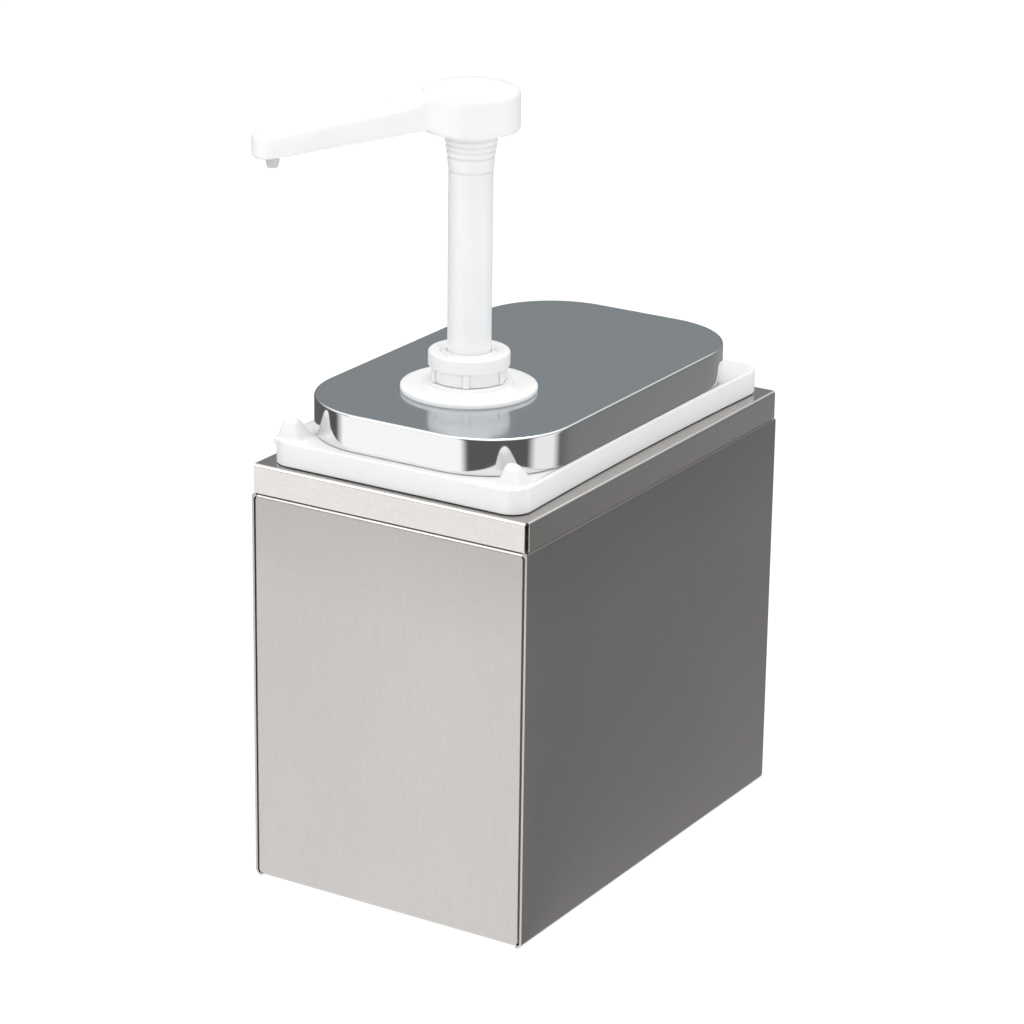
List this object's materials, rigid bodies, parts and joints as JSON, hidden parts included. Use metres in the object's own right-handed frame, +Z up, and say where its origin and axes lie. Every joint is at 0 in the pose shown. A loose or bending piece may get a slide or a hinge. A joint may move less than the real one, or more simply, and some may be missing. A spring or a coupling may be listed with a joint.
{
  "type": "condiment pump dispenser",
  "caption": "Countertop condiment dispenser: brushed steel box holding a white plastic jar under a polished steel lid, with a hand pump and a swivelling spout.",
  "frame": {"origin": "middle of the housing's flat underside, on the surface that the dispenser stands on", "axes": "+Z up, -Y towards the narrow front end, where the pump stands; +X towards the right-hand long side seen from the front"},
  "size_m": [0.1416, 0.2215, 0.3603],
  "materials": {
    "housing_sheet": "brushed stainless sheet, fine upright grain",
    "lid_steel": "stainless steel, satin top and mirror-polished edge",
    "jar_plastic": "satin white",
    "pump_plastic": "semi-gloss white",
    "natural_plastic": "uncoloured, slightly milky",
    "white_rubber": "matt white",
    "spring_wire": "drawn stainless wire",
    "ball_steel": "polished stainless balls"
  },
  "bodies": {
    "housing": {"side_wrap": "housing_sheet", "front_panel": "housing_sheet", "rear_panel": "housing_sheet", "top_frame": "housing_sheet"},
    "jar": {"container": "jar_plastic"},
    "lid_and_pump": {"lid": "lid_steel", "flange_gasket": "white_rubber", "pump_body": "pump_plastic", "clamp_nut": "pump_plastic", "collar_nut": "pump_plastic", "shaft_bush": "pump_plastic", "foot_valve_body": "pump_plastic", "ball_cage": "pump_plastic", "dip_tube": "natural_plastic", "return_spring": "spring_wire"},
    "suction_ball": {"lower_check_ball": "ball_steel"},
    "plunger": {"piston": "pump_plastic", "piston_seal": "white_rubber"},
    "delivery_ball": {"upper_check_ball": "ball_steel"},
    "spout": {"shaft": "pump_plastic", "upper_valve_cap": "pump_plastic", "neck_collar": "pump_plastic", "head": "pump_plastic", "nozzle_tip": "natural_plastic"}
  },
  "joints": [
    {"name": "jar_lift", "type": "slide", "parent": "housing", "child": "jar", "axis": [0, 0, 1], "range_m": [0, 0.25]},
    {"name": "lid_lift", "type": "slide", "parent": "jar", "child": "lid_and_pump", "axis": [0, 0, 1], "range_m": [0, 0.22]},
    {"name": "suction_ball_lift", "type": "slide", "parent": "lid_and_pump", "child": "suction_ball", "axis": [0, 0, 1], "range_m": [0, 0.0035]},
    {"name": "plunger_press", "type": "slide", "parent": "lid_and_pump", "child": "plunger", "axis": [0, 0, 1], "range_m": [-0.072, 0], "stiffness_N_per_m": 220, "springref_m": 0.03, "deforming": ["return_spring"]},
    {"name": "delivery_ball_lift", "type": "slide", "parent": "plunger", "child": "delivery_ball", "axis": [0, 0, 1], "range_m": [0, 0.0035]},
    {"name": "spout_swivel", "type": "hinge", "parent": "plunger", "child": "spout", "pos_m": [-0.0021, -0.042, 0.3], "axis": [0, 0, 1], "continuous": true}
  ]
}
